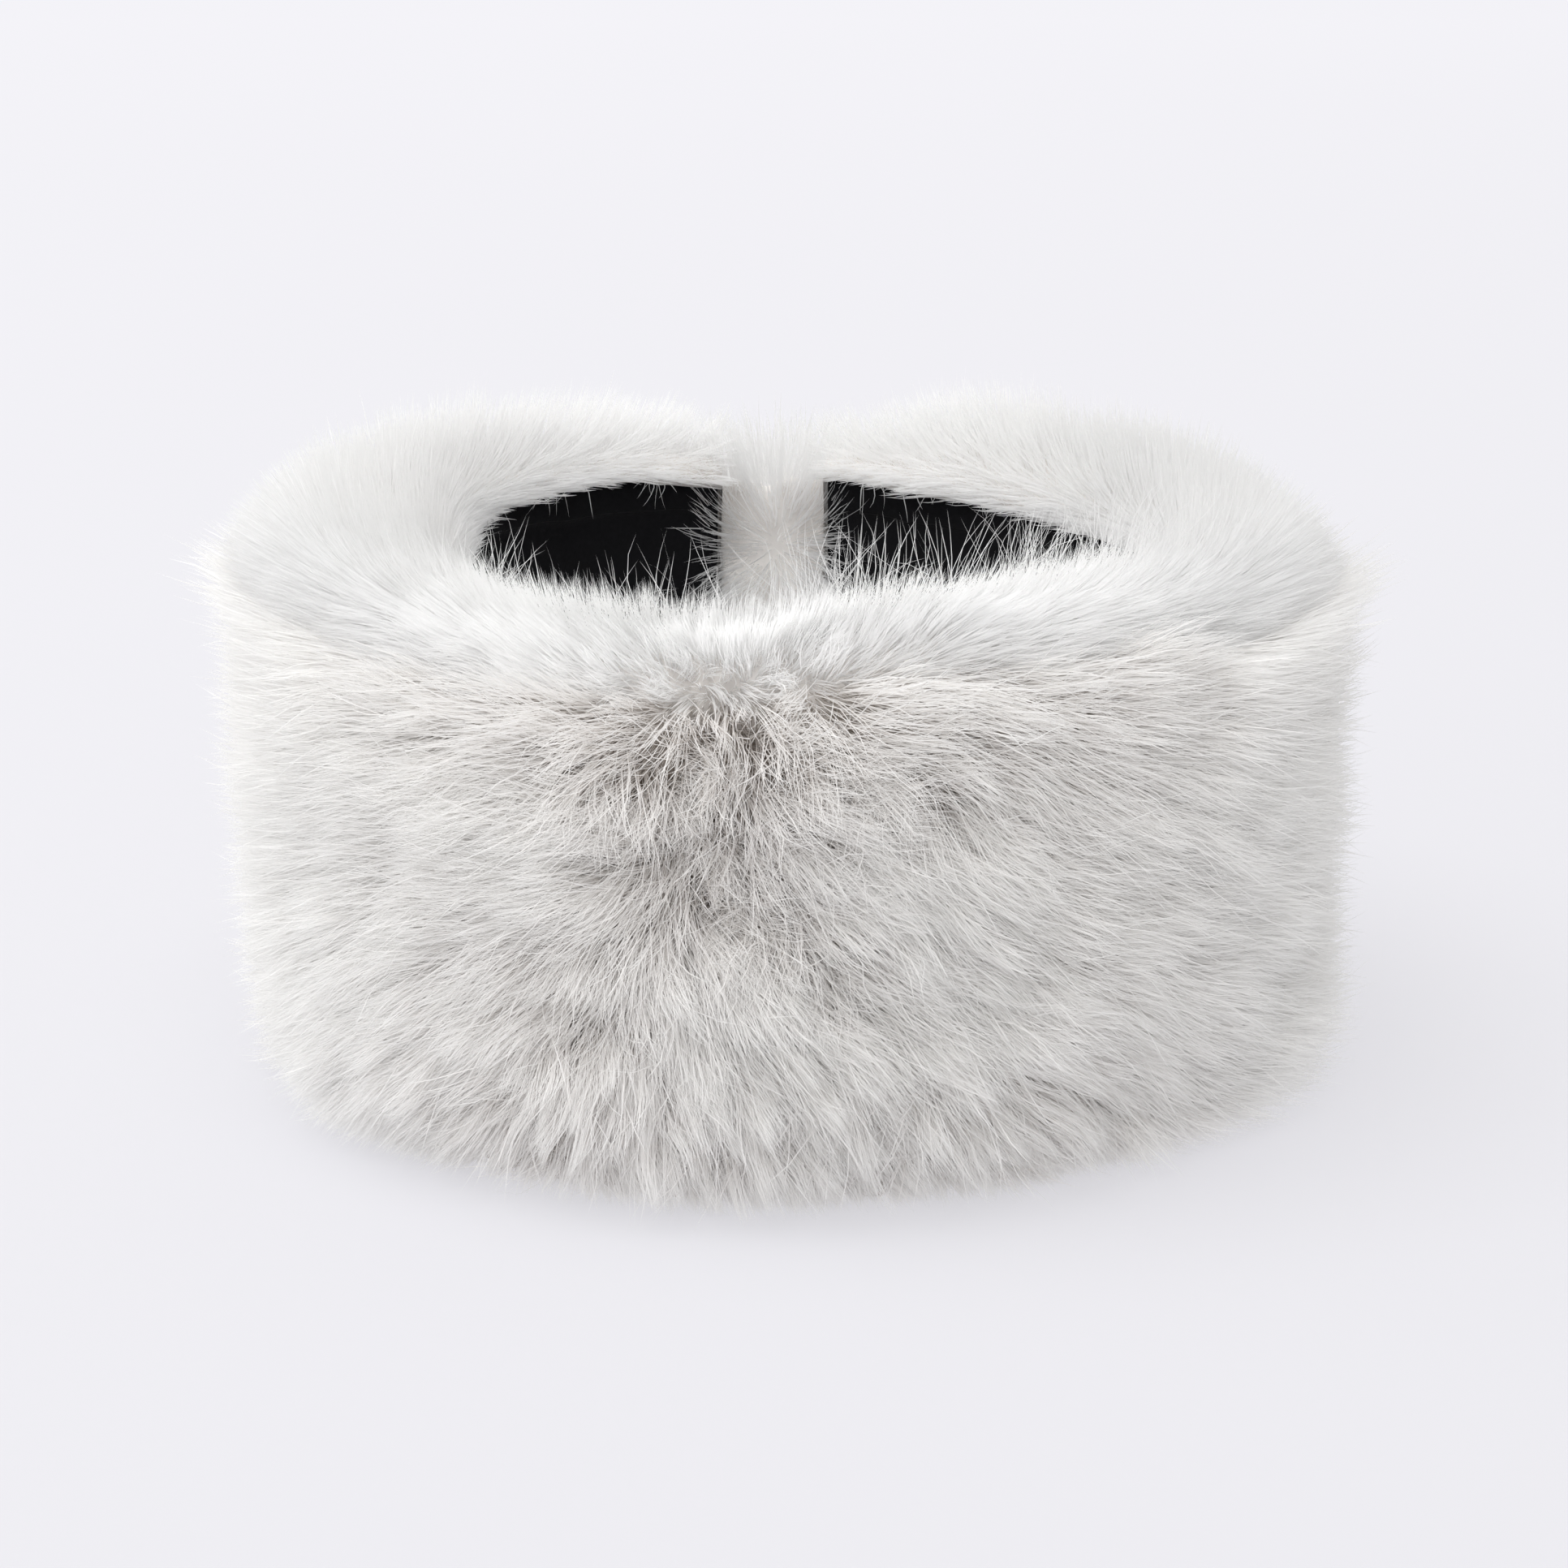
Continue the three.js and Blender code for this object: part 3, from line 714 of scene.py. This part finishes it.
def pile(name, section, place, lay, zone, seed):
    """One stretch of pile as a joined mesh of ribbons. zone is the stretch along the band and the stretch of
    the section that its roots cover, with the count, length, width and fibre of its hairs."""
    rng = np.random.default_rng(seed)
    lock_rng = np.random.default_rng(77)  # the same in each zone, so that locks run on from one to the next
    count = zone["count"]
    steps = np.array(zone["steps"])
    stray = zone.get("stray", False)
    along = rng.uniform(zone["along"][0], zone["along"][1], count)
    across = rng.uniform(zone["across"][0], zone["across"][1], count)
    lock_root, key = lock_of(along, across, LOCK_SIZE, 5)
    tress_root, tress_key = lock_of(along, across, TRESS_SIZE, 6)
    _, up = section.point(across)
    _, flow_up, tousle, _ = brushed(along, up)
    # How calm the pile is, and how much it clumps, which it does near the floor.
    crest = smoothstep(100, 110, up)
    calm = np.maximum(smoothstep(50, 120, np.abs(along)), crest)
    clump = 0.75 * smoothstep(36, 12, up + 24 * np.minimum(0, flow_up)) * (1 - calm)

    # What the hairs of a lock share: how far it turns, rises and curls, its length and its shade.
    cells = CELLS * CELLS
    lock_spin = lock_rng.normal(0, LOCK_SPREAD["turn"], cells)[key] * (1 + 2.5 * clump) * (1 - 0.7 * calm)
    lock_spin += lock_rng.uniform(-2.6, 2.6, cells)[key] * tousle
    lock_rise = lock_rng.normal(0, LOCK_SPREAD["rise"], cells)[key]
    lock_rise = lock_rise * (1 + 2 * tousle + 2 * clump) * (1 - 0.6 * calm)
    lock_curl = lock_rng.normal(0, LOCK_SPREAD["curl"], cells)[key] * (1 + tousle) * (1 - 0.6 * calm)
    lock_long = 1 + lock_rng.uniform(-0.12, 0.1, cells)[key] * (1 + 1.8 * clump)
    lock_tone = lock_rng.uniform(0, 1, cells)[key]
    lock_long = lock_long * (1 + lock_rng.uniform(-0.22, 0.1, cells)[tress_key] * clump)
    lock_rise = lock_rise + lock_rng.uniform(-0.14, 0.14, cells)[tress_key] * clump
    hair_long = zone["long"] * lock_long

    # What each hair does by itself.
    guard = rng.random(count) < (1.0 if stray else GUARD_SHARE * (1 - 0.8 * crest))
    own_long = rng.uniform(0.74, 1.08, count) * np.where(guard, GUARD_BIGGER, 1)
    wild = 3.0 if stray else 1.0
    steady = 1 - 0.3 * calm - 0.2 * crest
    own_spin = rng.normal(0, HAIR_SPREAD["turn"], count) * (1 + 1.5 * tousle) * steady
    own_spin = own_spin * np.where(guard, 1.7, 1) * wild
    own_rise = rng.normal(0, HAIR_SPREAD["rise"], count) * steady * wild
    own_curl = rng.normal(0, HAIR_SPREAD["curl"], count) * (1 + 3.5 * tousle) * steady * wild
    # Locks and hairs alike turn aside more round the whorl.
    lively = 0.7 * smoothstep(90, 40, np.abs(along - WHORL)) * (1 - crest)
    lock_spin = lock_spin * (1 + lively)
    own_spin = own_spin * (1 + 0.5 * lively)
    if stray:
        own_spin = rng.normal(0, 0.7, count)
        bunches = smoothstep(-0.3, 0.5, value_noise(along, 0 * along, BUNCH_SIZE, 37))
        own_long = rng.uniform(0.4, 1.2, count) * (0.5 + 0.6 * bunches)

    # The hairs, drawn part of the way to their lock, and the lock to its tress.
    flat = 1 - 0.7 * crest
    paths, normal = hair_paths(
        section, place, lay, theta_at(along), across, hair_long * own_long,
        flat * wave(along, across) + lock_spin + own_spin,
        flat * swell(along, across) + lock_rise + own_rise,
        lock_curl + own_curl, steps,
    )
    loose = guard | (rng.random(count) < LOOSE_SHARE)
    held = rng.uniform(0.2, 0.6, count) * (1 - 0.8 * calm) + 0.25 * clump
    gather = np.where(loose, 0.0 if stray else 0.1, held)
    lock_across = np.clip(lock_root[:, 1], 0, section.long)
    lock_paths, _ = hair_paths(
        section, place, lay, theta_at(lock_root[:, 0]), lock_across, hair_long,
        flat * wave(lock_root[:, 0], lock_across) + lock_spin,
        flat * swell(lock_root[:, 0], lock_across) + lock_rise,
        lock_curl, steps,
    )
    paths = paths + (gather[:, None] * steps**1.3)[..., None] * (lock_paths - paths)
    tress_across = np.clip(tress_root[:, 1], 0, section.long)
    tress_paths, _ = hair_paths(
        section, place, lay, theta_at(tress_root[:, 0]), tress_across, hair_long,
        wave(tress_root[:, 0], tress_across), swell(tress_root[:, 0], tress_across), 0 * lock_curl, steps,
    )
    gather = np.where(loose, 0.0, (0.12 + 0.7 * clump) * (1 - tousle) * (1 - calm))
    paths = paths + (gather[:, None] * steps**1.1)[..., None] * (tress_paths - paths)
    paths = worn_down(paths, rng)

    roll = rng.normal(0, 0.55, count) * (1 - 0.6 * calm)
    wide = zone["width"] * rng.uniform(0.65, 1.3, count) * np.where(guard, GUARD_BIGGER, 1)
    taper = np.interp(steps, [0, 0.3, 0.75, 1], [0.9, 1, 0.7, 0])
    corners, faces = ribbons(paths, normal, roll, wide[:, None] * taper[None, :])

    # The map: U from root to tip, its roots painted paler where the pile is calm, as painted light, and V
    # the tone of the lock and the hair.
    low, high = zone["tone"]
    tone = low + (high - low) * (0.45 * lock_tone + 0.55 * rng.random(count))
    # Painted shade: on the crest's fibre the tone is darkened round the sides.
    if zone["fibre"] is crest_fibre_painted_light:  # which is a little darker round the sides
        tone *= 1 - 0.9 * smoothstep(60, 110, np.abs(along)) * smoothstep(290, 210, np.abs(along))
    tone = np.where(guard, np.maximum(tone, 0.97), tone)
    root_to_tip = np.concatenate([np.repeat(steps[:-1], 2), [1.0]])
    u = 0.55 * calm[:, None] + (1 - 0.55 * calm[:, None]) * root_to_tip
    # Painted shade: where it is tousled or clumps, some hairs are darkened right to the tip.
    darker = rng.random(count)
    u *= 1 - np.maximum(0.75 * tousle * darker, 0.6 * clump * darker**4)[:, None]
    v = np.concatenate([np.tile([-0.004, 0.004], len(steps) - 1), [0.0]])
    uv = np.stack([u, tone[:, None] + v[None, :]], -1).reshape(-1, 2)
    made = put(name, mesh_from(name, corners, faces, uv))
    made.data.materials.append(zone["fibre"])
    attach(made, "root")
    return made


def where(section, out, up):
    """The length along a section at which it passes nearest to (out, up)."""
    return section.at[np.argmin(np.hypot(section.line[:, 0] - out, section.line[:, 1] - up))]


foot = where(UNDERFUR_SECTION, 13, 2.5)
face_foot = where(UNDERFUR_SECTION, 14.7, 9)
shoulder = where(UNDERFUR_SECTION, 18.4, 104)
hem = where(UNDERFUR_SECTION, 0.3, 109)
FOREHEAD_FACE = (face_foot, shoulder)
FACE = (foot, shoulder)
TOP = (shoulder, hem)
JOIN_GAP = 1.5  # between the last roots of the strip and its cut ends
BACK_RIGHT = float(along_at(np.array(end_left))) + JOIN_GAP
BACK_LEFT = float(along_at(np.array(end_right + 2 * math.pi))) - JOIN_GAP
PLAIN = (0, 0.42, 0.74, 1)  # where a ribbon's points lie along its hair
FINE = (0, 0.4, 0.62, 0.82, 1)
MIXED_TONE = (0.15, 0.95)
# Painted light: the paler tone that the crest and the elastic section take.
PAINTED_LIGHT_TONE = (0.85, 0.98)

# The zones of pile: their name, from and to along the band, across its section, and the count, length and
# width of their hairs. What shows best has the most hairs and the thinnest, and the nape the fewest.
PILE_ZONES = [
    ("fur_forehead_right", -118, -45, FOREHEAD_FACE, 23500, 27.0, 0.21),
    ("fur_forehead_middle", -45, 30, FOREHEAD_FACE, 29500, 27.0, 0.21),
    ("fur_forehead_left", 30, 118, FOREHEAD_FACE, 27500, 27.0, 0.21),
    ("fur_right_ear", -228, -118, FACE, 15500, 25.5, 0.27),
    ("fur_left_ear", 118, 228, FACE, 15500, 28.5, 0.27),
    ("fur_nape_right", BACK_RIGHT, -228, FACE, 8000, 28.0, 0.35),
    ("fur_nape_left", 228, BACK_LEFT, FACE, 8000, 28.0, 0.35),
    ("fur_crest_front", -150, 150, TOP, 28500, 17.5, 0.23),
    ("fur_crest_right", BACK_RIGHT, -150, TOP, 9500, 18.5, 0.27),
    ("fur_crest_left", 150, BACK_LEFT, TOP, 9500, 18.5, 0.27),
]
for seed, (name, start, end, across, count, long, width) in enumerate(PILE_ZONES, 100):
    zone = {"along": (start, end), "across": across, "count": count, "long": long, "width": width}
    zone["steps"] = PLAIN
    zone["fibre"] = crest_fibre_painted_light if across is TOP else guard_fibre_painted_shade
    zone["tone"] = PAINTED_LIGHT_TONE if across is TOP else MIXED_TONE
    pile(name, UNDERFUR_SECTION, in_pile, lay_of_strip, zone, seed)

# ---- Pile of the elastic section -----------------------------------------------------------------
# The same fur in a narrow strip, sewn over both faces of the elastic and over its edge. Its hairs spill past
# its sides, over the lining.


def lay_of_stretch(along, out, up):
    """How the elastic section's hairs lie: brushed down outside, up over its edge, and aside inside."""
    crest = smoothstep(96, 110, up)
    inner = smoothstep(8, 5, out)
    past = along % (2 * HALF_ROUND) - HALF_ROUND  # from the middle of the back
    lean_x = 0.25 * (1 - inner) + inner * (-0.6 + 1.3 * smoothstep(-6, 9, past))
    lean_z = (-0.8 * (1 - inner) - 0.3 * inner) * (1 - crest) + crest
    lean_out = (0.3 * (1 - inner) - 0.75 * inner) * (1 - crest)
    length = (1 - 0.4 * inner * (1 - crest)) * (1 - 0.2 * crest)
    length *= 1 - 0.2 * smoothstep(4, 12, -past)
    return lean_x * (1 - 0.6 * crest), lean_z, lean_out, length


STRETCH_ZONE = {
    "along": (BACK_LEFT, BACK_RIGHT + 2 * HALF_ROUND), "across": (8, STRETCH_SECTION.long), "count": 8000,
    "long": 24.0, "width": 0.26, "steps": PLAIN, "tone": PAINTED_LIGHT_TONE, "fibre": crest_fibre_painted_light,
}
pile("fur_stretch", STRETCH_SECTION, in_stretch, lay_of_stretch, STRETCH_ZONE, 120)

# ---- Stray hairs ---------------------------------------------------------------------------------
# Single long guard hairs that the comb has missed. They stand in bunches off the rim over the forehead, and
# a few hang from the lip at the back.


def lay_of_strays(along, out, up):
    """How the few hairs lie that stand up off the rim and lean in over the opening."""
    ones = np.ones(len(along))
    return 0.2 * np.sign(along) + 0.8 * smoothstep(10, 60, along), ones, -0.25 * ones, ones


def lay_of_lip(along, out, up):
    """How the few hairs lie that hang from the lip at the back, over the lining."""
    ones = np.ones(len(along))
    return -0.5 * np.sign(along), -1.2 * ones, -0.3 * ones, ones


RIM = (where(UNDERFUR_SECTION, 11, 112), where(UNDERFUR_SECTION, 3, 111.5))
LIP = (where(UNDERFUR_SECTION, 1.5, 110.5), hem)
STRAY_WIDTH = 0.16
STRAY_ZONES = [
    ("fur_rim_strays_right", -95, 10, RIM, 500, 20.0, lay_of_strays),
    ("fur_rim_strays_left", 0, 105, RIM, 900, 28.0, lay_of_strays),
    ("fur_lip_strays_right", -312, -250, LIP, 24, 11.0, lay_of_lip),
    ("fur_lip_strays_left", 250, 312, LIP, 30, 11.0, lay_of_lip),
]
for seed, (name, start, end, across, count, long, lay) in enumerate(STRAY_ZONES, 121):
    zone = {"along": (start, end), "across": across, "count": count, "long": long, "width": STRAY_WIDTH}
    zone.update(steps=FINE, fibre=crest_fibre_painted_light, tone=MIXED_TONE, stray=True)
    pile(name, UNDERFUR_SECTION, in_pile, lay, zone, seed)

# ---- Lining --------------------------------------------------------------------------------------
# A strip of black brushed fleece inside the band, stretched flat on the fur's backing. Its edges are
# turned under, which leaves a low step along each.

LINING_BOTTOM = lining_low[2] / MM
LINING_AROUND = 240  # points along the strip
LINING_STEP = 7  # of the profile's drawn points, every which one the strip has
LINING_GAP = 0.012  # between its ends and the fur strip's, in radians
LINING_CLEAR = 0.1  # between it and the backing
RIPPLE_HIGH = 0.35
EDGE_WANDER = 0.5
NAP_TUFTS = 0.9  # to a millimetre, coarser than real nap so that it shows
NAP_HIGH = 0.4

# Its profile: the out, and the share of the way up. The turned edges stand 0.8 mm proud.
LINING_PROFILE = Section([
    (1.5, 0.0), (-0.3, 0.0), (-0.8, 0.012), (-0.8, 0.055), (-0.25, 0.072), (0.0, 0.09), (0.0, 0.5),
    (0.0, 0.91), (-0.25, 0.928), (-0.8, 0.945), (-0.8, 0.985), (-0.2, 1.0), (1.5, 1.0), (1.55, 0.5),
])


def brushed_fleece():
    """Black polyester fleece: matt and very dark, with a faint grey bloom where its nap catches light."""
    material, tree = new_material("black brushed fleece")
    place = add_node(tree, "ShaderNodeTexCoord").outputs["Object"]
    nap = add_node(tree, "ShaderNodeTexNoise", {"Vector": place, "Scale": NAP_TUFTS / MM, "Detail": 3.0})
    tint = add_node(tree, "ShaderNodeMix", {0: nap.outputs["Fac"]}, data_type="RGBA")
    tint.inputs["A"].default_value = linear("0a0a0c")
    tint.inputs["B"].default_value = linear("141417")
    bumps = {"Height": nap.outputs["Fac"], "Strength": 0.4, "Distance": NAP_HIGH * MM}
    bump = add_node(tree, "ShaderNodeBump", bumps)
    skin = add_node(
        tree,
        "ShaderNodeBsdfPrincipled",
        {
            "Base Color": tint.outputs["Result"],
            "Roughness": 0.95,
            "Specular IOR Level": 0.12,
            "Sheen Weight": 0.05,
            "Sheen Roughness": 0.5,
            "Normal": bump.outputs["Normal"],
        },
    )
    add_node(tree, "ShaderNodeOutputMaterial", {"Surface": skin.outputs["BSDF"]})
    return material


def turned_strip(theta):
    """The corners and triangles of the lining, swept along theta and closed at both ends."""
    sampled = np.arange(0, len(LINING_PROFILE.line) - 1, LINING_STEP)
    tt, oo = np.meshgrid(theta, LINING_PROFILE.line[sampled, 0], indexing="ij")
    _, uu = np.meshgrid(theta, LINING_PROFILE.line[sampled, 1], indexing="ij")
    ripple = RIPPLE_HIGH * value_noise(along_at(tt), uu * 90, 17, 41) * np.sin(np.clip(uu, 0, 1) * math.pi)
    height = LINING_BOTTOM + (station("hem", tt) - LINING_BOTTOM) * uu
    height += EDGE_WANDER * value_noise(along_at(tt), uu * 0, 9, 42) * uu
    points = on_oval(tt, oo - ripple - LINING_CLEAR, height)
    around, across = points.shape[:2]
    i, j = np.meshgrid(np.arange(around - 1), np.arange(across), indexing="ij")
    j1 = (j + 1) % across
    quads = np.stack([i * across + j, (i + 1) * across + j, (i + 1) * across + j1, i * across + j1], -1)
    quads = quads.reshape(-1, 4)
    tris = np.vstack([quads[:, [0, 1, 2]], quads[:, [0, 2, 3]]])
    corners = points.reshape(-1, 3)
    for end, flip in ((0, False), (around - 1, True)):
        ring = end * across + np.arange(across)
        corners = np.vstack([corners, points[end].mean(0)])
        cap = np.stack([ring, np.roll(ring, -1), np.full(across, len(corners) - 1)], -1)
        tris = np.vstack([tris, cap[:, ::-1] if flip else cap])
    return corners, tris


theta = np.linspace(end_left + LINING_GAP, end_right + 2 * math.pi - LINING_GAP, LINING_AROUND)
lining = put("lining_fleece", mesh_from("lining_fleece", *turned_strip(theta)))
lining.data.materials.append(brushed_fleece())
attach(lining, "root")
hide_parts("lining")
